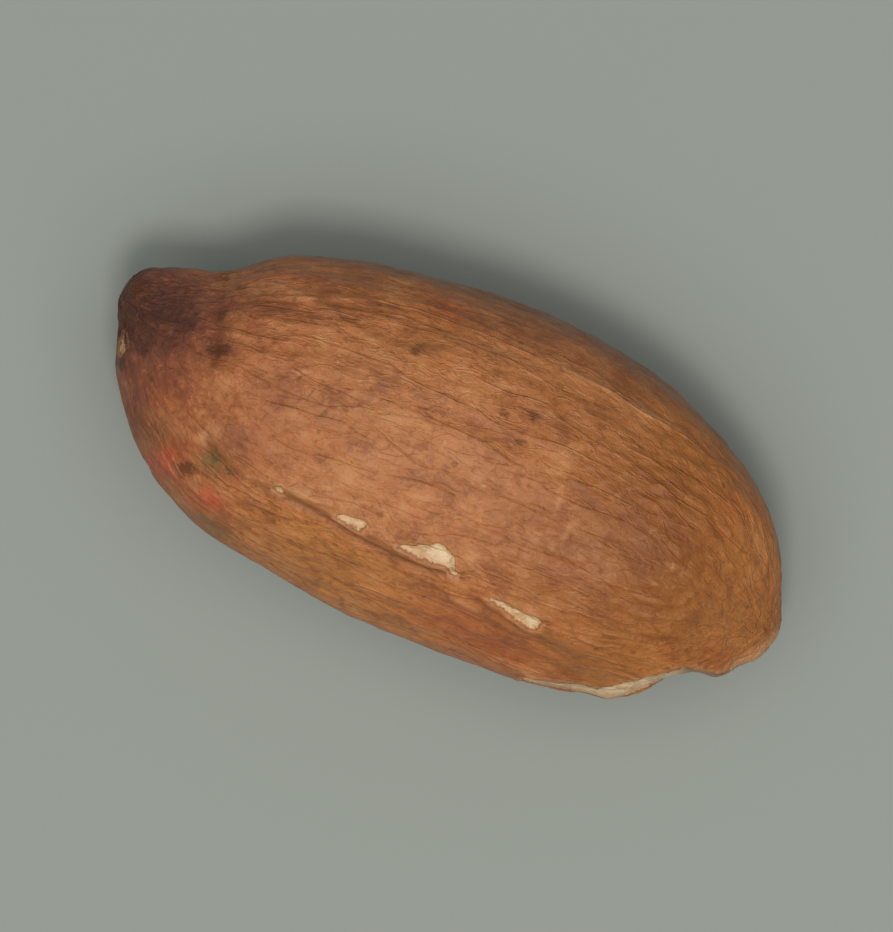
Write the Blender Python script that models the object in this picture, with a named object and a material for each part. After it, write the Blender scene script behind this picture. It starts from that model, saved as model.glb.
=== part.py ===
"""A shelled peanut, life size: one seed in its papery red-brown skin, lying on its flattened underside.

+X runs from the beak to the tail, +Y across the seed, and +Z up. A peanut seed is one solid: two
seed leaves and a small root, which makes the beak, all held in one skin. Its surface is written
as a distance from a few plain shapes, and each point of a sphere is pushed out until it meets it.
"""

import math
import random

import bmesh
import bpy
from mathutils import Vector, noise

MM = 0.001  # every length below is in millimetres, and every angle in degrees

# The whole seed
LENGTH = 17.3
WIDTH = 8.4
THICKNESS = 7.9

# The body, an ellipsoid with two fuller stretches: where each is, by how much, and how far it spreads
BEAK_REACH = 0.62  # how far the beak stands past the body
SHOULDER = (-5.3, 0.06, 1.6)
FULL_TAIL = (5.8, 0.045, 2.6)

# The line of its middle bows to one side and then the other near the beak, and drops at the tail:
# where each bow is, by how much, and how far it spreads
MIDDLE_BOW = (-2.9, 0.1, 2.3)
BEAK_BOW = (-6.3, -0.08, 1.2)
TAIL_DROP = 0.95
TAIL_DROP_FROM = 1.5

# The beak, the tapered stub over the seed's small root, set off to one side of the end, and the
# groove round its foot
BEAK_TIP = Vector((-7.66, 1.08, -0.1))
BEAK_ROOT = Vector((-5.2, 1.5, 0.1))
BEAK_TIP_RADIUS = 0.98
BEAK_ROOT_RADIUS = 1.25
BEAK_BLEND = 0.35
GROOVE_FROM_ROOT = 1.02
GROOVE_DEPTH = 0.06
GROOVE_WIDTH = 0.3
GROOVE_SIDE = (0.1, 1.0)  # it fades out between these places across the seed

# The hilum, a low pad with a scar, where the seed hung in its pod
HILUM_PAD = Vector((-7.3, -0.05, 0.1))
HILUM_PAD_RADIUS = 0.97
HILUM_SCAR = Vector((-8.2, -0.1, 0.45))
SCAR_RADIUS = 0.36
SCAR_DEPTH = 0.16

# Flats pressed into the seed by the pod and by the seed beside it: a point on each, the direction
# that it faces, and how widely its edges are rounded
SIDE_FLAT = (Vector((0.3, -2.4, 3.2)), Vector((-0.03, -0.82, 0.57)), 0.5)
TAIL_FLAT = (Vector((6.9, -0.5, 2.0)), Vector((0.80, -0.12, 0.58)), 0.8)
TAIL_SIDE_FLAT = (Vector((8.05, 0.8, 0.0)), Vector((0.88, 0.475, 0.0)), 0.4)
TAIL_EDGE_FLAT = (Vector((8.0, -2.05, 0.0)), Vector((0.72, -0.69, 0.1)), 0.3)
BACK_FLAT = (Vector((0.3, 2.6, -2.7)), Vector((0.05, 0.72, -0.69)), 0.8)
FLATS = (SIDE_FLAT, TAIL_FLAT, TAIL_SIDE_FLAT, TAIL_EDGE_FLAT, BACK_FLAT)

# The crease along the upper edge of the side flat, as it lies in the plan
CREASE_START = Vector((-4.3, -1.85))
CREASE_END = Vector((4.8, -2.9))
CREASE_HEIGHT = 0.12
CREASE_WIDTH = 0.28
CREASE_FADE = 1.2

# A notch broken out of the edge of the tail, with two straight sides that meet in a corner: the
# corner in the plan, and the direction that each side faces
NOTCH_CORNER = Vector((6.55, -2.54))
NOTCH_INNER_SIDE = Vector((0.27, -0.96))
NOTCH_BEAK_SIDE = Vector((0.82, -0.57))
NOTCH_BLEND = 0.15

# Shallow furrows between the veins, and the unevenness of the whole seed
FURROWS = 15
FURROW_DEPTH = 0.055
FURROW_WIDTH = 0.32
FURROW_WANDER = 9.0
FURROW_SEED = 11
LUMP_SIZE = 3.4
LUMP_HEIGHT = 0.09

REST_CUT = 0.17  # how much of the underside the resting flat takes

SEGMENTS = 88
RINGS = 56
SPINE_SHARE = 0.8  # the points are pushed out from a line this much of the seed's length
SEARCH_STEPS = 24

BODY_HALF_LENGTH = (LENGTH - BEAK_REACH) / 2
BODY_CENTRE = Vector((BEAK_REACH / 2, 0, 0))
BODY_RADII = Vector((BODY_HALF_LENGTH, WIDTH / 2, THICKNESS / 2))


def bell(value, middle, spread):
    """A smooth rise to 1 at the middle, nearly 0 two spreads away."""
    return math.exp(-(((value - middle) / spread) ** 2))


def ramp(value, start, end):
    """0 before start and 1 after end, smooth between them."""
    share = min(1.0, max(0.0, (value - start) / (end - start)))
    return share * share * (3 - 2 * share)


def smooth_min(a, b, blend):
    """The lower of two distances, rounded where they are within blend of each other."""
    near = max(blend - abs(a - b), 0.0) / blend
    return min(a, b) - near * near * blend / 4


def smooth_max(a, b, blend):
    """The higher of two distances, rounded in the same way."""
    return -smooth_min(-a, -b, blend)


def centre_line(x):
    """How far the middle of the seed lies to one side at x."""
    past = max(0.0, x - TAIL_DROP_FROM) / (LENGTH / 2 - TAIL_DROP_FROM)
    bows = sum(by * bell(x, at, spread) for at, by, spread in (MIDDLE_BOW, BEAK_BOW))
    return bows - TAIL_DROP * past * past


def ellipsoid_distance(offset, radii):
    """Distance from an ellipsoid at the origin, close to true near its surface."""
    by_radius = Vector(c / r for c, r in zip(offset, radii))
    by_square = Vector(c / r for c, r in zip(by_radius, radii))
    size = by_radius.length
    return size * (size - 1) / max(by_square.length, 1e-6)


def body_distance(point):
    """Distance from the two seed leaves in their skin, without the beak."""
    full = 1 + sum(by * bell(point.x, at, spread) for at, by, spread in (SHOULDER, FULL_TAIL))
    offset = point - BODY_CENTRE
    offset.y = (offset.y - centre_line(point.x)) / full
    offset.z /= full
    return ellipsoid_distance(offset, BODY_RADII)


def beak_distance(point):
    """Distance from a round-ended, tapered stub between the beak's root and its tip."""
    along = BEAK_TIP - BEAK_ROOT
    share = min(1.0, max(0.0, (point - BEAK_ROOT).dot(along) / along.length_squared))
    radius = BEAK_ROOT_RADIUS + share * (BEAK_TIP_RADIUS - BEAK_ROOT_RADIUS)
    return (point - BEAK_ROOT - along * share).length - radius


def notch_distance(point):
    """Distance from the broken-out notch, which runs right through from top to underside."""
    offset = point.xy - NOTCH_CORNER
    return smooth_max(
        -offset.dot(NOTCH_INNER_SIDE.normalized()), -offset.dot(NOTCH_BEAK_SIDE.normalized()), NOTCH_BLEND
    )


def seed_distance(point):
    """Distance from the whole smooth seed: body, beak, hilum, pressed flats and notch."""
    found = smooth_min(body_distance(point), beak_distance(point), BEAK_BLEND)
    found = smooth_min(found, (point - HILUM_PAD).length - HILUM_PAD_RADIUS, BEAK_BLEND)
    for on_flat, facing, blend in FLATS:
        found = smooth_max(found, (point - on_flat).dot(facing.normalized()), blend)
    found += SCAR_DEPTH * bell((point - HILUM_SCAR).length, 0, SCAR_RADIUS)
    return smooth_max(found, -notch_distance(point), NOTCH_BLEND)


def furrow_lines():
    """Each furrow's angle round the seed, its strength and the phase of its wander."""
    draw = random.Random(FURROW_SEED)
    step = 360 / FURROWS
    lines = []
    for i in range(FURROWS):
        angle = step * (i + draw.uniform(-0.3, 0.3))
        lines.append((angle, draw.uniform(0.45, 1.0), draw.uniform(0, math.tau)))
    return lines


FURROW_LINES = furrow_lines()


def furrow_relief(point):
    """Depth of the lengthwise furrows, which fade out towards the beak and the tail."""
    along = point.x / (LENGTH / 2)
    across = point.y - centre_line(point.x)
    angle = math.degrees(math.atan2(across, point.z))
    girth = math.hypot(across, point.z)
    depth = 0.0
    for line, strength, phase in FURROW_LINES:
        wander = FURROW_WANDER * math.sin(1.7 * along + phase) * (1 - 0.4 * along)
        apart = (angle - line - wander + 180) % 360 - 180
        depth += strength * bell(math.radians(apart) * girth, 0, FURROW_WIDTH)
    fade = (1 - ramp(abs(along), 0.62, 0.97)) * ramp(girth, 1.0, 2.6)
    return -FURROW_DEPTH * depth * fade


def crease_relief(point):
    """The raised line along the side flat's upper edge, on the upper side only."""
    if point.z < 0:
        return 0.0
    run = CREASE_END - CREASE_START
    offset = point.xy - CREASE_START
    along = offset.dot(run) / run.length
    across = offset.dot(run.orthogonal()) / run.length
    fade = ramp(along, 0, CREASE_FADE) * (1 - ramp(along, run.length - CREASE_FADE, run.length))
    return CREASE_HEIGHT * bell(across, 0, CREASE_WIDTH) * fade


def groove_relief(point):
    """Depth of the groove round the foot of the beak."""
    along = (point - BEAK_ROOT).dot((BEAK_TIP - BEAK_ROOT).normalized())
    return -GROOVE_DEPTH * bell(along, GROOVE_FROM_ROOT, GROOVE_WIDTH) * ramp(point.y, *GROOVE_SIDE)


def relief(point):
    """How far the skin stands out from the smooth seed, or in from it if negative."""
    lump = LUMP_HEIGHT * noise.noise(point / LUMP_SIZE)
    return lump + furrow_relief(point) + crease_relief(point) + groove_relief(point)


def surface_point(unit):
    """The point of the skin that a point of the unit sphere moves to."""
    on_body = Vector(c * r for c, r in zip(unit, BODY_RADII)) + BODY_CENTRE
    spine_x = on_body.x * SPINE_SHARE
    spine = Vector((spine_x, centre_line(spine_x), 0))
    out = (on_body - spine).normalized()
    near, far = 0.0, LENGTH / 2
    for _ in range(SEARCH_STEPS):
        middle = (near + far) / 2
        if seed_distance(spine + out * middle) < 0:
            near = middle
        else:
            far = middle
    on_seed = spine + out * near
    return on_seed + out * relief(on_seed)


def corners(mesh):
    """The lowest and highest corners of the seed's box."""
    low = Vector(min(v.co[i] for v in mesh.verts) for i in range(3))
    high = Vector(max(v.co[i] for v in mesh.verts) for i in range(3))
    return low, high


def cut_resting_flat(mesh):
    """Takes the lowest part of the underside off flat, and closes the seed there."""
    low, _ = corners(mesh)
    level = low + Vector((0, 0, REST_CUT))
    everything = mesh.verts[:] + mesh.edges[:] + mesh.faces[:]
    bmesh.ops.bisect_plane(
        mesh, geom=everything, dist=1e-4, plane_co=level, plane_no=(0, 0, 1), clear_inner=True
    )
    bmesh.ops.edgeloop_fill(mesh, edges=[e for e in mesh.edges if e.is_boundary])


def fit_to_size(mesh):
    """Brings the seed to its stated size, with the middle of its base at the origin."""
    low, high = corners(mesh)
    base = Vector(((low.x + high.x) / 2, (low.y + high.y) / 2, low.z))
    bmesh.ops.translate(mesh, vec=-base, verts=mesh.verts)
    size = high - low
    factors = Vector((LENGTH / size.x, WIDTH / size.y, THICKNESS / size.z))
    bmesh.ops.scale(mesh, vec=factors * MM, verts=mesh.verts)


def testa_material():
    """The dry, papery skin."""
    material = bpy.data.materials.new("testa")
    material.use_nodes = True
    shader = material.node_tree.nodes["Principled BSDF"]
    shader.inputs["Base Color"].default_value = (0.40, 0.15, 0.065, 1)
    shader.inputs["Roughness"].default_value = 0.6
    shader.inputs["Metallic"].default_value = 0.0
    return material


def build_kernel():
    """The seed, from a sphere whose poles lie at the beak and the tail."""
    mesh = bmesh.new()
    bmesh.ops.create_uvsphere(mesh, u_segments=SEGMENTS, v_segments=RINGS, radius=1)
    for vertex in mesh.verts:
        vertex.co = surface_point(vertex.co.zxy)
    cut_resting_flat(mesh)
    fit_to_size(mesh)
    bmesh.ops.recalc_face_normals(mesh, faces=mesh.faces)
    data = bpy.data.meshes.new("kernel")
    mesh.to_mesh(data)
    mesh.free()
    data.shade_smooth()
    data.materials.append(testa_material())
    kernel = bpy.data.objects.new("kernel", data)
    bpy.context.scene.collection.objects.link(kernel)


def main():
    for obj in list(bpy.data.objects):
        bpy.data.objects.remove(obj)
    build_kernel()


main()
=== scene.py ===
"""The looks of a shelled peanut, lying on a pale floor under soft light."""

import math
import random

import bpy
import numpy as np
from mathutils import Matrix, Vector, noise


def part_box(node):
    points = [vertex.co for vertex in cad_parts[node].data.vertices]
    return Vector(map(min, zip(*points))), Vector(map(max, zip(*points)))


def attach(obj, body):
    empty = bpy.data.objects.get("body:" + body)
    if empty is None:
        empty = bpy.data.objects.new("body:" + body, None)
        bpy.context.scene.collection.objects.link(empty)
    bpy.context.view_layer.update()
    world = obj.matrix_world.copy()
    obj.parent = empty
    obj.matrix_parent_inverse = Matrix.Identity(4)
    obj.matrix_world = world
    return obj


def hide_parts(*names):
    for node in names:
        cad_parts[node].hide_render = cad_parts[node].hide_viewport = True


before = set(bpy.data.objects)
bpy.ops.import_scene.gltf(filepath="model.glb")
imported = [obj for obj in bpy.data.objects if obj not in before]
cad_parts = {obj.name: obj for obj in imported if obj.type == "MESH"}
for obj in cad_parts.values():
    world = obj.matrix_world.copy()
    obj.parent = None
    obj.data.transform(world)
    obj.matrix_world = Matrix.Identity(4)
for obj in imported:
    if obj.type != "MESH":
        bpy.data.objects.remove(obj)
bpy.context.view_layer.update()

# The form of the seed. A peanut seed is two seed leaves and a small root, which makes the beak, grown
# as one body in a papery skin. Its form is the frame's own, with the facets rounded off, and a fine even
# mesh is drawn over it, so that the skin's veins, folds and tears can stand in real relief.
MM = 0.001
seed_low, seed_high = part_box("kernel")
seed_middle = (seed_low + seed_high) / 2
seed_half = (seed_high - seed_low) / 2
FIRST_CUTS = 63  # each side of the cube becomes 64 squares, and 128 when each is halved again
EVEN_OUT = 8
SAME_PLACE = 0.001 * MM

bpy.ops.object.select_all(action="DESELECT")
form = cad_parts["kernel"].copy()
form.data = form.data.copy()
form.parent = None
bpy.context.collection.objects.link(form)
bpy.context.view_layer.objects.active = form
form.select_set(True)
bpy.ops.object.mode_set(mode="EDIT")
bpy.ops.mesh.select_all(action="SELECT")
bpy.ops.mesh.remove_doubles(threshold=SAME_PLACE)
bpy.ops.mesh.vertices_smooth(factor=0.5, repeat=2)
bpy.ops.object.mode_set(mode="OBJECT")
rounding = form.modifiers.new("rounding", "SUBSURF")
rounding.levels = rounding.render_levels = 2
bpy.ops.object.modifier_apply(modifier=rounding.name)
form.select_set(False)

bpy.ops.mesh.primitive_cube_add(size=2)
seed = bpy.context.object
seed.name = seed.data.name = "seed_in_skin"
bpy.ops.object.mode_set(mode="EDIT")
bpy.ops.mesh.subdivide(number_cuts=FIRST_CUTS)
bpy.ops.mesh.subdivide(number_cuts=1)
bpy.ops.transform.tosphere(value=1)
bpy.ops.transform.resize(value=seed_half)
bpy.ops.transform.translate(value=seed_middle)
bpy.ops.object.mode_set(mode="OBJECT")
drawn_over = seed.modifiers.new("drawn over the form", "SHRINKWRAP")
drawn_over.target = form
drawn_over.wrap_method = "TARGET_PROJECT"
evened = seed.modifiers.new("evened out", "SMOOTH")
evened.factor = 0.5
evened.iterations = EVEN_OUT
bpy.ops.object.modifier_apply(modifier=drawn_over.name)
bpy.ops.object.modifier_apply(modifier=evened.name)
bpy.data.objects.remove(form)

# The skin's places. Each point of the skin is known by where it lies in the plan, x from beak to tail and
# y across, in millimetres from the middle of the seed, and by its turn round the line from the beak to
# the tail. The veins and folds run along that line and draw together towards both its ends.
mesh = seed.data
flat = np.empty(len(mesh.vertices) * 3)
mesh.vertices.foreach_get("co", flat)
place = (flat.reshape(-1, 3) - np.array(seed_middle)) / MM
mesh.vertices.foreach_get("normal", flat)
outward = flat.reshape(-1, 3).copy()
x, y, height = place.T.copy()
HALF_LENGTH = 8.6
BEAK_BEND = (4.5, 0.9)  # how far from the middle the line starts to bend, and how far to the side it ends
TAIL_BEND = (1.5, -1.0)
line_y = np.zeros(len(x))
for towards_end, (bend_from, side) in ((-x, BEAK_BEND), (x, TAIL_BEND)):
    line_y += side * (np.clip(towards_end - bend_from, 0, None) / (HALF_LENGTH - bend_from)) ** 2
turn = np.arctan2(y - line_y, height)
girth = np.hypot(y - line_y, height)
drawn_in = 2 * np.sqrt(girth)  # the lines draw together only half as fast as the seed narrows
along = np.stack([x, drawn_in * np.sin(turn), drawn_in * np.cos(turn)], axis=1)


def ramp(value, start, end):
    """0 at start and 1 at end, smooth between them."""
    share = np.clip((value - start) / (end - start), 0, 1)
    return share * share * (3 - 2 * share)


def lumps(points, size, shift):
    """Smooth noise between about -1 and 1 over the skin, in lumps of that size."""
    return np.array([noise.noise(Vector(p)) for p in points / np.array(size) + shift])


upper = ramp(outward[:, 2], -0.15, 0.2)  # the side that faces up
swell = lumps(place, 2.1, 1.7)  # the broad unevenness of the seed
pucker = lumps(place, 0.75, 6.1)  # the small unevenness of its skin

# The veins. They leave the hilum beside the beak and run the length of the skin, wandering a little,
# with side veins that part from them, as the seed's food once came through them. Dried, they stand up.
VEINS = 24
VEIN_WIDTH = 0.065
VEIN_HEIGHT = 0.026
VEIN_STARTS = (-8.0, -6.5)
VEIN_ENDS = (4.0, 7.6)
FADES_IN, FADES_OUT = 1.2, 1.6
WANDERS = ((0.13, 0.36, 1.0), (0.035, 1.15, 2.3))  # how far and how fast, and its share of phase
SIDE_VEINS = (1, 2, 2, 3)
SIDE_VEIN_STARTS = (-6.5, 3.5)
SIDE_VEIN_LENGTHS = (2.2, 5.5)
SIDE_VEIN_TURNS = (0.06, 0.17)
SIDE_VEIN_BEND = 1.8  # in how many millimetres it parts from its vein
draw = random.Random(4)
vein = np.zeros(len(x))


def bell(value, spread):
    """1 where value is 0, and nearly 0 two spreads away."""
    return np.exp(-((value / spread) ** 2))


def vein_turn(start_turn, phase):
    """The turn of a wandering vein at each place along the seed."""
    return start_turn + sum(by * np.sin(often * x + share * phase) for by, often, share in WANDERS)


def add_vein(centre, first, last, width, strength):
    """Raises the skin beside a line of turns, between two places along the seed."""
    apart = (turn - centre + np.pi) % (2 * np.pi) - np.pi
    shown = ramp(x, first, first + FADES_IN) * (1 - ramp(x, last - FADES_OUT, last))
    np.maximum(vein, strength * shown * bell(apart * girth, width), out=vein)


for i in range(VEINS):
    phase = draw.uniform(0, 2 * math.pi)
    centre = vein_turn(2 * math.pi * (i + draw.uniform(-0.35, 0.35)) / VEINS, phase)
    first, last = draw.uniform(*VEIN_STARTS), draw.uniform(*VEIN_ENDS)
    add_vein(centre, first, last, VEIN_WIDTH, draw.uniform(0.35, 1.0))
    for _ in range(draw.choice(SIDE_VEINS)):
        parts_at = draw.uniform(*SIDE_VEIN_STARTS)
        length = draw.uniform(*SIDE_VEIN_LENGTHS)
        side = draw.choice((-1, 1)) * draw.uniform(*SIDE_VEIN_TURNS)
        branch = centre + side * (1 - np.exp(-np.clip(x - parts_at, 0, None) / SIDE_VEIN_BEND))
        add_vein(branch, parts_at, parts_at + length, 0.7 * VEIN_WIDTH, draw.uniform(0.25, 0.7))

# The creases. The skin is pressed into sharp folds along one side of the seed, where it lay against its
# neighbour in the pod, and round the foot of the beak. Each has a narrow groove, and the side creases
# have a raised lip above it. Each is given by its line, its depth, its width and the height of its lip.
SIDE_CREASE = [
    (-4.7, -2.1), (-3.4, -2.02), (-2.3, -2.12), (-1.3, -2.33), (-0.4, -2.43), (0.5, -2.43), (1.9, -2.08)
]
CREASES = [
    (SIDE_CREASE, 0.08, 0.085, 0.06),
    ([(1.1, -2.5), (2.0, -2.76), (3.0, -2.94), (4.6, -3.05)], 0.05, 0.08, 0.04),
    ([(-6.5, 2.6), (-6.25, 1.5), (-6.0, 0.5), (-5.95, -0.3)], 0.05, 0.13, 0.0),
    ([(-5.6, -1.35), (-5.2, -1.7), (-4.75, -1.95)], 0.05, 0.14, 0.02),
]
LIP_ABOVE = 0.24  # how far above its groove a lip stands
LIP_WIDTH = 0.16


def beside(line):
    """How far each point lies, in the plan, from a line of places, and its share of the line's length."""
    runs = [math.dist(a, b) for a, b in zip(line, line[1:])]
    nearest = np.full(len(x), np.inf)
    share_there = np.zeros(len(x))
    done = 0.0
    for (x0, y0), (x1, y1), run in zip(line, line[1:], runs):
        share = np.clip(((x - x0) * (x1 - x0) + (y - y0) * (y1 - y0)) / run**2, 0, 1)
        apart = np.hypot(x - x0 - share * (x1 - x0), y - y0 - share * (y1 - y0))
        share_there = np.where(apart < nearest, (done + share * run) / sum(runs), share_there)
        nearest = np.minimum(nearest, apart)
        done += run
    return nearest, share_there


lip = np.zeros(len(x))
groove = np.zeros(len(x))
for line, depth, width, lip_height in CREASES:
    apart, share = beside(line)
    shown = upper * ramp(share, 0.0, 0.25) * (1 - ramp(share, 0.75, 1.0))
    signed = np.where(y > np.interp(x, *np.transpose(line)), apart, -apart)
    groove = np.maximum(groove, depth * shown * bell(apart, width))
    lip = np.maximum(lip, lip_height * shown * bell(signed - LIP_ABOVE, LIP_WIDTH))

# The tears. Where the skin has flaked off, along the crease, at the broken edge of the tail and on the
# hilum, the pale seed leaf shows a skin's thickness lower, inside an edge that curls up a little. Each
# flake is given by its line and by its half widths at the two ends, and each round tear by its middle.
SKIN_THICKNESS = 0.07
CURL = 0.035
FLAKES = [
    ([(-3.47, -1.89), (-3.41, -1.9)], 0.1, 0.1),
    ([(-1.9, -1.95), (-1.35, -1.98)], 0.05, 0.13),
    ([(-0.35, -2.12), (0.55, -1.97)], 0.02, 0.23),
    ([(0.55, -1.95), (0.85, -2.03), (1.08, -2.3)], 0.23, 0.05),
    ([(2.05, -2.49), (2.6, -2.6), (3.2, -2.68)], 0.03, 0.15),
    ([(3.5, -4.02), (4.9, -3.8)], 0.05, 0.13),
    ([(4.9, -3.82), (5.6, -3.7), (6.2, -3.36)], 0.15, 0.4),
    ([(6.2, -3.36), (6.55, -2.96), (6.75, -2.66)], 0.36, 0.18),
]
HILUM = (-8.08, -0.03, 0.36)
HILUM_RADIUS = 0.26
BACK_TEAR = (1.9, 3.3, -2.0)
BACK_TEAR_RADIUS = 0.22
NOTCH_CORNER = (6.88, -2.54)
NOTCH_SIDES = ((0.27, -0.96), (0.82, -0.57))  # the direction that each side of the notch faces
NOTCH_RIM = 0.1
ragged = lumps(place, 0.36, 3.1)
frayed = lumps(place, 0.14, 8.7)
bare = np.full(len(x), -1.0)
above_lower_edge = 0.8 * height + 0.35 + 0.4 * swell + 0.3 * pucker  # the flakes end raggedly lower down
for line, start_width, end_width in FLAKES:
    apart, share = beside(line)
    inside = start_width + share * (end_width - start_width) - apart
    np.maximum(bare, np.minimum(inside, above_lower_edge), out=bare)
for middle, radius in ((HILUM, HILUM_RADIUS), (BACK_TEAR, BACK_TEAR_RADIUS)):
    np.maximum(bare, radius - np.linalg.norm(place - middle, axis=1), out=bare)
past_sides = [a * (NOTCH_CORNER[0] - x) + b * (NOTCH_CORNER[1] - y) for a, b in NOTCH_SIDES]
np.maximum(bare, NOTCH_RIM - np.max(past_sides, axis=0), out=bare)
bare += 0.06 * ragged + 0.045 * frayed
browned = np.maximum(ramp(x, 6.75, 7.05), 0.15 * ramp(-x, 7.0, 7.6))  # old breaks at both ends

# The edge of the seed. At the broken tail and at the shoulder beside the beak it stands out or falls back
# a little from the smooth form. Each such place is given in the plan, with its radius and how far it goes.
EDGE = [
    (5.6, -3.95, 0.3, 0.17), (7.75, -2.45, 0.3, 0.14), (8.3, -2.05, 0.33, -0.2), (8.5, -0.9, 0.45, 0.1),
    (-5.3, 3.2, 0.8, 0.1),
]
edge = np.zeros(len(x))
for edge_x, edge_y, radius, outwards in EDGE:
    edge += outwards * bell(np.hypot(x - edge_x, y - edge_y), radius) * ramp(height, -2.2, -1.0)

# The folds of the dry skin: long wrinkles that run with the veins, short crinkles between them, ripples
# round a point near the tail, and a few plain folds, each given by its line, its width and its height.
RIPPLES_MIDDLE = (5.3, -0.1)
RIPPLE_GAP = 0.42
RIPPLE_HEIGHT = 0.018
WRINKLE_HEIGHT = 0.028
CRINKLE_HEIGHT = 0.015
SWELL_HEIGHT = 0.045
PUCKER_HEIGHT = 0.028
FOLDS = [
    ([(1.2, 3.05), (2.8, 2.95), (4.6, 2.72)], 0.09, 0.035),
    ([(1.0, -2.72), (2.05, -2.99)], 0.07, 0.045),
    ([(1.0, -1.78), (1.45, -1.93), (1.9, -2.1)], 0.06, 0.04),
    ([(2.6, 0.7), (2.75, 0.0), (2.45, -0.8)], 0.08, 0.035),
    ([(3.1, 0.9), (3.3, 0.0), (2.95, -1.1)], 0.08, 0.03),
    ([(1.15, 0.1), (1.2, -0.7), (1.1, -1.6)], 0.06, 0.025),
    ([(-4.6, -1.9), (-3.6, -1.8), (-2.2, -1.82)], 0.09, 0.05),
    ([(2.4, -3.75), (3.3, -3.8), (4.1, -3.9)], 0.1, 0.035),
    ([(-6.1, 2.4), (-4.6, 2.5), (-2.9, 2.2), (-1.7, 1.75)], 0.09, 0.035),
]
fold = np.zeros(len(x))
for line, width, fold_height in FOLDS:
    apart, share = beside(line)
    shown = upper * ramp(share, 0.0, 0.2) * (1 - ramp(share, 0.8, 1.0))
    fold = np.maximum(fold, fold_height * shown * bell(apart + 0.05 * pucker, width))
warped = along + 0.3 * pucker[:, None]
wrinkle = 0.45 - 2.2 * np.abs(lumps(warped, (4.5, 0.46, 0.46), 5.3))
crinkle = 0.45 - 2.2 * np.abs(lumps(warped, (0.7, 0.27, 0.27), 9.9))
vein = np.maximum(vein, 0.6 * bell(lumps(warped, (3.2, 0.62, 0.62), 2.2), 0.16))  # the net between them
from_ripples = np.hypot(x - RIPPLES_MIDDLE[0], 1.2 * (y - RIPPLES_MIDDLE[1])) + 0.12 * pucker
ripple = np.sin(2 * np.pi * from_ripples / RIPPLE_GAP)
ripple *= upper * ramp(from_ripples, 0.3, 0.9) * (1 - ramp(from_ripples, 2.0, 4.4))
ripple *= (1 - 0.7 * ramp(x, 5.8, 7.2)) * np.clip(0.8 + 1.2 * swell, 0.2, 1.4)
fine = WRINKLE_HEIGHT * wrinkle + CRINKLE_HEIGHT * crinkle + RIPPLE_HEIGHT * ripple
fine += VEIN_HEIGHT * vein + fold
relief = fine + SWELL_HEIGHT * swell + PUCKER_HEIGHT * pucker + edge + lip - groove
relief += CURL * bell(bare + 0.08, 0.07) - SKIN_THICKNESS * ramp(bare, -0.02, 0.05)
relief *= ramp(height + seed_half.z / MM, 0.02, 0.6)  # the resting flat stays flat
place += outward * relief[:, None]
place[:, 2] = np.clip(place[:, 2], -seed_half.z / MM, seed_half.z / MM)
mesh.vertices.foreach_set("co", (place * MM + np.array(seed_middle)).reshape(-1))
mesh.update()
bpy.ops.object.shade_smooth()

# The stains of the skin, each given by its place in the plan, its radius and its strength: dark pits and
# specks, brown and red blushes, pale scuffs, a green-grey pit, and a dark beak that fades over the end.
# Their edges are ragged, and they are drawn out a little along the veins.
DRAWN_OUT = 1.25
strayed_x = x + 0.16 * pucker + 0.1 * ragged + 0.05 * frayed
strayed_y = y + 0.12 * lumps(place, 0.5, 14.2) + 0.06 * lumps(place, 0.17, 17.6)


def stain(spots):
    """The shade of spots in the plan."""
    shade = np.zeros(len(x))
    for spot_x, spot_y, radius, strength in spots:
        apart = np.hypot((strayed_x - spot_x) / DRAWN_OUT, strayed_y - spot_y)
        np.maximum(shade, strength * bell(apart, radius), out=shade)
    return shade * upper


dark = stain([
    (-1.55, 2.28, 0.19, 0.65), (0.85, 1.65, 0.14, 0.75), (1.57, 1.85, 0.14, 0.8), (1.35, 1.1, 0.13, 0.65),
    (-0.55, 1.1, 0.12, 0.45), (-1.95, 0.9, 0.11, 0.45), (-0.9, -0.4, 0.1, 0.35), (3.4, 0.4, 0.16, 0.4),
    (5.2, 1.2, 0.16, 0.4), (-5.98, 0.65, 0.22, 0.85), (-6.2, 1.4, 0.22, 0.6), (-5.95, 2.1, 0.2, 0.55),
    (-4.9, 2.0, 0.14, 0.45), (-6.0, -0.1, 0.14, 0.4), (-8.3, 0.55, 0.3, 0.9), (-8.08, -0.45, 0.16, 1.1),
    (-7.6, 0.12, 0.2, 0.6), (-7.1, -0.3, 0.18, 0.4), (-4.68, -1.35, 0.17, 0.5), (-4.62, -1.9, 0.2, 0.6),
    (-5.6, -2.2, 0.22, 0.75), (-7.15, -1.6, 0.3, 0.4), (2.2, -0.45, 0.16, 0.4), (-0.15, 3.0, 0.13, 0.35),
    (-8.4, 1.3, 0.4, 0.85),
])
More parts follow.
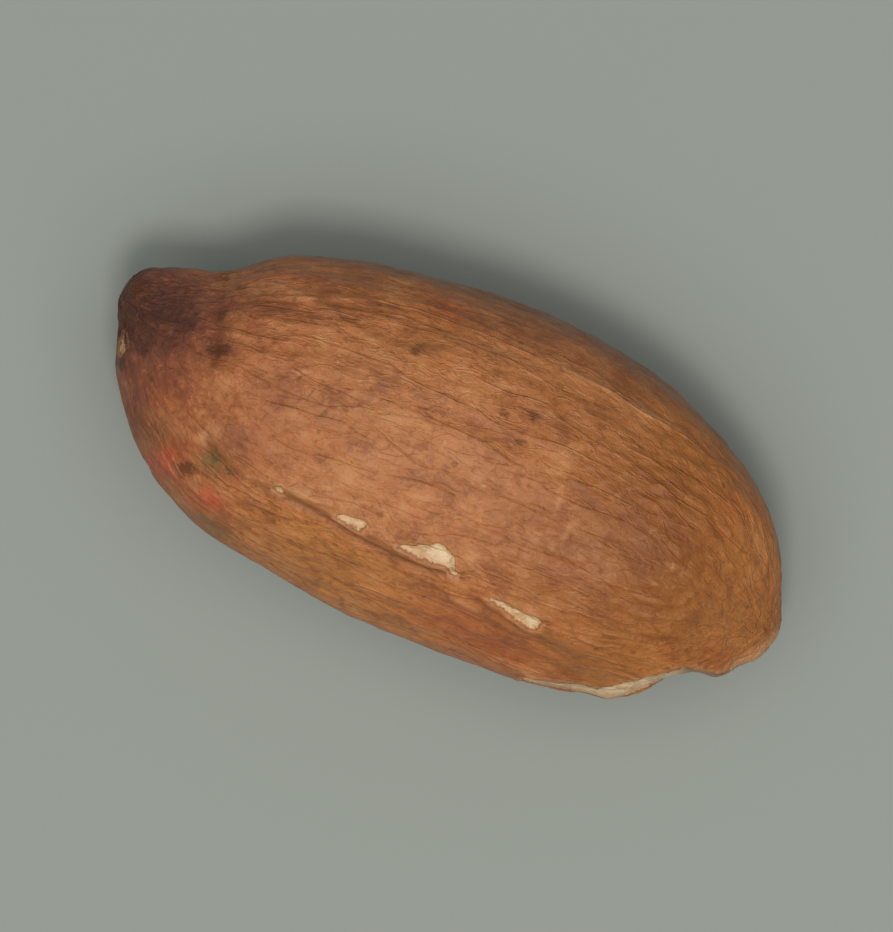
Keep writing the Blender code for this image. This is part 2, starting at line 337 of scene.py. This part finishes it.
brown = stain([
    (-5.3, 2.2, 0.5, 0.8), (-4.2, 2.75, 0.5, 0.7), (-3.4, 3.2, 0.5, 0.8), (-1.2, 3.4, 0.6, 0.6),
    (0.4, 3.3, 0.6, 0.4), (-6.4, -0.6, 0.5, 0.2), (-7.4, -0.7, 0.6, 1.0), (-7.2, -1.5, 0.6, 1.0),
    (-6.5, -2.6, 0.4, 0.9), (4.6, 1.0, 0.7, 0.7), (5.6, -1.2, 0.6, 0.6), (6.3, 0.6, 0.6, 0.3),
    (4.6, -3.3, 0.4, 0.6), (1.8, -3.4, 0.5, 0.5), (-3.4, -2.9, 0.5, 0.4), (-4.7, -3.3, 0.4, 0.7),
    (3.2, 3.3, 0.5, 0.6), (-4.75, -1.55, 0.4, 0.8), (2.4, -0.4, 0.4, 0.6), (-3.0, 1.4, 0.5, 0.3),
    (5.2, 0.0, 1.0, 1.5), (3.4, 0.4, 0.4, 0.7), (1.4, 1.3, 0.4, 0.4), (3.0, 2.3, 0.4, 0.4),
    (-6.1, 1.6, 0.5, 0.7), (-6.1, 0.4, 0.4, 0.6), (1.0, 0.2, 0.7, 0.25), (-2.0, -2.35, 0.3, 0.3),
    (3.6, -0.8, 1.2, 0.8), (3.0, 0.0, 0.4, 0.75), (3.0, -1.7, 0.4, 0.6), (5.0, -1.9, 0.5, 0.5),
    (-8.0, -1.2, 0.5, 0.8),
])
red = stain([
    (-6.3, -2.5, 0.4, 0.5), (1.6, -3.3, 0.7, 0.8), (0.9, -3.25, 0.6, 0.7), (3.3, -3.6, 0.6, 0.9),
    (2.4, -3.45, 0.5, 0.9), (6.6, 1.4, 0.45, 0.5), (-1.3, 3.45, 0.4, 0.6), (7.5, -1.95, 0.35, 0.7),
    (6.45, -2.3, 0.2, 0.6), (8.1, 0.0, 0.4, 0.5), (-5.9, -1.7, 0.3, 0.5), (-6.9, -1.0, 0.5, 0.4),
])
brick = stain([(-6.13, -2.2, 0.36, 0.85), (-4.87, -2.72, 0.28, 1.1)])
pale = stain([
    (-5.62, -1.42, 0.14, 1.0), (-5.35, -1.22, 0.16, 0.7), (0.45, 2.2, 0.12, 0.7), (1.85, 1.95, 0.1, 0.6),
    (0.5, 0.6, 0.1, 0.5), (-2.3, -1.4, 0.12, 0.6), (-1.0, -1.55, 0.1, 0.5), (-6.6, 1.45, 0.16, 0.4),
    (1.2, -1.75, 0.2, 0.6), (7.6, -2.36, 0.16, 0.8), (-1.6, 1.5, 0.1, 0.4), (3.6, -3.85, 0.25, 0.5),
    (-1.8, 1.9, 0.8, 0.13),
])
TAIL_RIM = [(7.5, -2.45), (7.9, -2.3), (8.3, -1.75), (8.6, -0.95)]  # a thin pale edge
rim_apart = beside(TAIL_RIM)[0] + 0.08 * ragged
pale = np.maximum(pale, 1.2 * bell(rim_apart, 0.13) * ramp(outward[:, 2], -0.7, -0.3))
green = stain([
    (-5.17, -1.86, 0.24, 1.3), (-4.8, -3.35, 0.4, 0.5), (-6.5, -1.75, 0.3, 0.4), (-2.0, -3.2, 0.7, 0.2),
    (-8.3, 0.1, 0.3, 0.9),
])
BEAK_STAIN_MIDDLE = (-8.9, 1.0)
BEAK_STAIN_REACH = (3.1, 1.7)
from_beak = np.hypot(*((v - m) / r for v, m, r in zip((x, y), BEAK_STAIN_MIDDLE, BEAK_STAIN_REACH)))
beak = 1 - ramp(from_beak + 0.2 * pucker + 0.15 * swell + 0.1 * ragged, 0.4, 1.2)
below_beak = stain([
    (-7.9, -0.3, 0.6, 0.7), (-6.9, -0.2, 0.6, 0.35), (-6.4, -0.4, 0.6, 0.25), (-7.4, -1.2, 0.6, 0.4),
])
to_facet = y - np.interp(x, *np.transpose(SIDE_CREASE))
facet = upper * (1 - ramp(to_facet, -0.3, 0.05)) * ramp(x, -5.5, -4.0) * (1 - 0.6 * ramp(x, 0.0, 3.0))
golden = np.maximum(facet, ramp(x + 0.4 * swell, 6.2, 7.6))
# Painted shade: the skin darkens towards the far side of the seed, up the plan, in place of the shade that
# falls there.
painted_far_side_shade = ramp(y - 0.25 * height + 0.3 * swell, 2.3, 4.2)
for name, values in {
    "vein": vein, "bare": bare, "browned": browned, "beak": np.maximum(beak, below_beak), "dark": dark,
    "brown": brown, "red": red, "brick": brick, "pale": pale, "green": green, "golden": golden,
    # the groove mask also darkens the creases, as painted shade
    "groove": groove / 0.08,
    "rosy": 1 - ramp(x + 0.6 * swell, -6.0, -2.4), "tail": ramp(x + 0.5 * swell + 0.3 * pucker, 1.6, 5.5),
    # the flank mask, 1 on the steep sides, carries painted shade on the skin and a painted warm tint on
    # the bare seed leaf there
    "painted far side shade": painted_far_side_shade, "painted flank shade and warmth": 1 - ramp(outward[:, 2], -0.05, 0.4), "crest": fine / 0.04,
}.items():
    mesh.attributes.new(name, "FLOAT", "POINT").data.foreach_set("value", values)
mesh.attributes.new("along", "FLOAT_VECTOR", "POINT").data.foreach_set("vector", along.reshape(-1))

# The skin's colour and finish: papery and matt, from pale salmon to red-brown, mottled and streaked along
# the veins, with painted shade darkening the folds, the creases and the far and steep sides, and the
# crests paler, partly from wear and partly a painted highlight. The seed leaf that shows in the tears is
# cream, a little waxy, and browner at the edges.
skin = bpy.data.materials.new("peanut skin")
skin.use_nodes = True
nodes, links = skin.node_tree.nodes, skin.node_tree.links
shader = nodes["Principled BSDF"]


def node(kind, **settings):
    """A new node with those settings."""
    made = nodes.new(kind)
    for name, value in settings.items():
        setattr(made, name, value)
    return made


def feed(socket, value):
    """Links an output to a socket, or sets the socket to a plain value."""
    if isinstance(value, bpy.types.NodeSocket):
        links.new(value, socket)
    else:
        socket.default_value = value


def painted(name):
    """One of the shades worked out above for each point of the skin."""
    return node("ShaderNodeAttribute", attribute_name=name).outputs["Fac"]


def maths(operation, *values):
    """Sums on shades."""
    made = node("ShaderNodeMath", operation=operation)
    for socket, value in zip(made.inputs, values):
        feed(socket, value)
    return made.outputs[0]


def between(value, low, high):
    """0 at low and 1 at high, smooth between them."""
    made = node("ShaderNodeMapRange", interpolation_type="SMOOTHSTEP")
    feed(made.inputs["Value"], value)
    made.inputs["From Min"].default_value = low
    made.inputs["From Max"].default_value = high
    return made.outputs["Result"]


def mix(share, under, over):
    """One colour over another, by a share."""
    made = node("ShaderNodeMix", data_type="RGBA")
    feed(made.inputs[0], share)
    for socket, value in zip(made.inputs[6:8], (under, over)):
        feed(socket, (*value, 1) if isinstance(value, tuple) else value)
    return made.outputs[2]


def cloud(vector, scale, detail=3.0, roughness=0.55, distortion=0.0):
    """Noise over the skin. The scale is in lumps a millimetre."""
    made = node("ShaderNodeTexNoise")
    feed(made.inputs["Vector"], vector)
    made.inputs["Scale"].default_value = scale
    made.inputs["Detail"].default_value = detail
    made.inputs["Roughness"].default_value = roughness
    made.inputs["Distortion"].default_value = distortion
    return made.outputs["Fac"]


def stretched(vector, scale):
    """Places drawn out by a scale along each axis."""
    made = node("ShaderNodeMapping")
    feed(made.inputs["Vector"], vector)
    made.inputs["Scale"].default_value = scale
    return made.outputs["Vector"]


def layered(under, layers):
    """Colours laid over one another, each by a shade and a strength."""
    for shade, strength, over in layers:
        under = mix(maths("MULTIPLY", shade, strength), under, over)
    return under


def roughened(shade, noise_shade, amount):
    """A shade with an amount of noise laid over it, as much up as down."""
    return maths("MULTIPLY_ADD", maths("SUBTRACT", noise_shade, 0.5), amount, shade)


def threads(vector, scale, width):
    """A net of fine threads, each where a cloud passes through its middle value."""
    from_middle = maths("ABSOLUTE", maths("SUBTRACT", cloud(vector, scale, 2, 0.5, 0.3), 0.5))
    return between(from_middle, width, 0.0)


SALMON = (0.59, 0.222, 0.073)
PALE_SALMON = (0.80, 0.38, 0.16)
TAN = (0.54, 0.19, 0.052)
ROSE = (0.50, 0.155, 0.055)
ORANGE_BROWN = (0.42, 0.142, 0.022)
RED_BROWN = (0.20, 0.052, 0.012)
DEEP_BROWN = (0.12, 0.034, 0.006)
MAROON = (0.25, 0.064, 0.037)
PURPLE_BROWN = (0.088, 0.026, 0.015)
ORANGE_RED = (0.52, 0.11, 0.024)
BRICK_RED = (0.68, 0.10, 0.045)
GOLD = (0.72, 0.262, 0.054)
GREEN_GREY = (0.20, 0.142, 0.036)
CREAM = (0.93, 0.68, 0.42)
STRAW = (0.92, 0.54, 0.25)
TOASTED = (0.64, 0.36, 0.16)
BROWNED = (0.30, 0.13, 0.05)

in_mm = stretched(node("ShaderNodeTexCoord").outputs["Object"], (1000, 1000, 1000))
with_veins = node("ShaderNodeAttribute", attribute_name="along").outputs["Vector"]
patches = cloud(in_mm, 0.33, 3)
mottle = cloud(stretched(with_veins, (0.85, 1.0, 1.0)), 1.25, 9, 0.74, 0.3)
blots = cloud(in_mm, 2.9, 6, 0.66, 0.6)
speckle = roughened(cloud(in_mm, 5.0, 4, 0.66, 0.5), mottle, 1.1)
grain = cloud(in_mm, 11.0, 5, 0.7)
fibres = cloud(stretched(with_veins, (0.22, 1.0, 1.0)), 9.0, 4, 0.62, 0.2)
flecks = cloud(stretched(with_veins, (0.45, 1.0, 1.0)), 4.6, 5, 0.66, 0.8)
net = threads(stretched(with_veins, (0.2, 1.0, 1.0)), 1.3, 0.035)
fine_net = threads(stretched(with_veins, (0.4, 1.0, 1.0)), 3.4, 0.05)
pits = node("ShaderNodeTexVoronoi")
pits.inputs["Scale"].default_value = 1.8
feed(pits.inputs["Vector"], in_mm)
pit_edge = roughened(roughened(pits.outputs["Distance"], pits.outputs["Color"], 0.2), blots, 0.16)
pit = between(pit_edge, 0.13, 0.05)
crest = painted("crest")
# paler crests, partly wear and partly a painted highlight
painted_crest_highlight_and_wear = roughened(crest, blots, 2.0)
beak_stain = roughened(painted("beak"), speckle, 0.9)

colour = layered(SALMON, [
    (between(patches, 0.35, 0.68), 1.0, TAN),
    (painted("tail"), 0.85, ORANGE_BROWN),
    (painted("golden"), 0.6, GOLD),
    (painted("rosy"), 0.6, ROSE),
    (between(mottle, 0.5, 0.6), 0.23, RED_BROWN),
    (between(mottle, 0.46, 0.38), 0.25, PALE_SALMON),
    (between(blots, 0.53, 0.64), 0.2, ORANGE_RED),
    # painted shade on the far side and on the steep sides of the seed
    (painted("painted far side shade"), 0.5, RED_BROWN),
    (painted("painted flank shade and warmth"), 0.32, RED_BROWN),
    (painted("brown"), 0.5, RED_BROWN),
    (painted("red"), 0.8, ORANGE_RED),
    (painted("brick"), 0.8, BRICK_RED),
    (painted("green"), 0.75, GREEN_GREY),
    (between(speckle, 0.53, 0.6), 0.24, RED_BROWN),
    (between(speckle, 0.42, 0.35), 0.15, PALE_SALMON),
    (painted("vein"), 0.22, RED_BROWN),
    (net, 0.14, RED_BROWN),
    (fine_net, 0.13, RED_BROWN),
    # painted shade in the valleys of the folds, then the crests paler, partly worn and partly a painted
    # highlight
    (between(crest, -0.1, -1.2), 0.3, RED_BROWN),
    (between(painted_crest_highlight_and_wear, 0.5, 1.4), 0.35, PALE_SALMON),
    (between(fibres, 0.54, 0.68), 0.1, PALE_SALMON),
    (between(flecks, 0.67, 0.71), 0.5, PALE_SALMON),
    (painted("tail"), 0.25, ORANGE_BROWN),
    (painted("pale"), 0.75, PALE_SALMON),
    (between(beak_stain, 0.0, 0.55), 0.72, MAROON),
    (between(beak_stain, 0.4, 1.15), 0.95, PURPLE_BROWN),
    # painted shade in the creases
    (painted("groove"), 0.5, DEEP_BROWN),
    (pit, 0.4, DEEP_BROWN),
    (between(roughened(painted("dark"), grain, 0.9), 0.22, 0.7), 0.8, DEEP_BROWN),
])

torn = roughened(painted("bare"), grain, 0.1)
flesh = layered(CREAM, [
    # a warm straw tint on the steep sides, painted against the grey of the shade there
    (painted("painted flank shade and warmth"), 0.8, STRAW),
    (between(blots, 0.48, 0.62), 0.8, TOASTED),
    (between(torn, 0.14, 0.0), 0.65, TOASTED),
    (between(speckle, 0.53, 0.65), 0.4, TOASTED),
    (painted("browned"), 0.85, BROWNED),
    (painted("green"), 0.5, GREEN_GREY),
])
colour = layered(colour, [
    (between(roughened(torn, blots, 0.3), -0.14, -0.03), 0.4, PALE_SALMON),
    # a thin dark line round each tear, partly the browned cut edge of the skin and partly painted shadow
    # under its curled edge
    (between(torn, -0.035, -0.01), 0.5, RED_BROWN),
    (between(torn, 0.0, 0.02), 1.0, flesh),
])
feed(shader.inputs["Base Color"], colour)

feed(shader.inputs["Roughness"], roughened(0.36, blots, 0.4))
shader.inputs["Specular IOR Level"].default_value = 0.5
shader.inputs["Subsurface Weight"].default_value = 0.08
shader.inputs["Subsurface Radius"].default_value = (1.0, 0.35, 0.15)
shader.inputs["Subsurface Scale"].default_value = 0.25 * MM

rough_skin = maths("MULTIPLY", mottle, 0.6)
for finer, share in {blots: 0.5, speckle: 0.4, fibres: 0.3, grain: 0.2, net: 0.25, fine_net: 0.15}.items():
    rough_skin = maths("MULTIPLY_ADD", finer, share, rough_skin)
bump = node("ShaderNodeBump")
bump.inputs["Strength"].default_value = 1.0
bump.inputs["Distance"].default_value = 0.06 * MM
feed(bump.inputs["Height"], rough_skin)
feed(shader.inputs["Normal"], bump.outputs["Normal"])
mesh.materials.append(skin)
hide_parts("kernel")
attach(seed, "root")

# The floor, a plain pale grey-green sheet under the seed.
bpy.ops.mesh.primitive_plane_add(size=0.5, location=(0, 0, 0))
floor = bpy.context.object
floor.name = "floor"
sheet = bpy.data.materials.new("pale floor")
sheet.use_nodes = True
sheet.node_tree.nodes["Principled BSDF"].inputs["Base Color"].default_value = (0.345, 0.38, 0.352, 1)
sheet.node_tree.nodes["Principled BSDF"].inputs["Roughness"].default_value = 0.7
sheet.node_tree.nodes["Principled BSDF"].inputs["Specular IOR Level"].default_value = 0.2
floor.data.materials.append(sheet)

# The camera looks straight down from well above, so that nothing is drawn in perspective. It is turned
# about its own axis until the seed lies from upper left to lower right, 21 degrees off level.
TURN = math.radians(21)
CAMERA_HEIGHT = 0.3
FRAME_WIDTH = 21 * MM  # what the picture shows across, at the seed's middle
PICTURE = (893, 932)
SENSOR = 36.0  # it spans the picture's height, which is its longer side
frame_height = FRAME_WIDTH * PICTURE[1] / PICTURE[0]
lens = SENSOR * (CAMERA_HEIGHT - seed_middle.z) / frame_height
bpy.ops.object.camera_add(location=(0, 0, CAMERA_HEIGHT), rotation=(0, 0, TURN))
camera = bpy.context.object
camera.data.sensor_width = SENSOR
camera.data.lens = lens
camera.data.clip_start = 0.001
bpy.context.scene.camera = camera

# The light: a broad soft panel overhead, a smaller lamp that brings out the relief, both leaning towards
# the lower edge of the picture, and an even, pale and weak surround.
LAMP_DISTANCE = 0.27
LAMPS = (("panel", 8, 0.3, 0.42), ("lamp", 12, 0.05, 0.215))  # lean in degrees, size, and power in watts
LOWER_EDGE = Vector((math.sin(TURN), -math.cos(TURN), 0))
for name, lean_degrees, size, energy in LAMPS:
    lean = math.radians(lean_degrees)
    lamp_place = LAMP_DISTANCE * (LOWER_EDGE * math.sin(lean) + Vector((0, 0, math.cos(lean))))
    bpy.ops.object.light_add(type="AREA", location=lamp_place)
    lamp = bpy.context.object
    lamp.name = name
    lamp.rotation_euler = lamp_place.to_track_quat("Z", "Y").to_euler()
    lamp.data.size = size
    lamp.data.energy = energy
    lamp.data.color = (1.0, 0.97, 0.93)
surround = bpy.data.worlds.new("surround")
surround.use_nodes = True
surround.node_tree.nodes["Background"].inputs["Color"].default_value = (0.93, 1.0, 0.97, 1)
surround.node_tree.nodes["Background"].inputs["Strength"].default_value = 0.17
bpy.context.scene.world = surround
bpy.context.scene.view_settings.view_transform = "Standard"
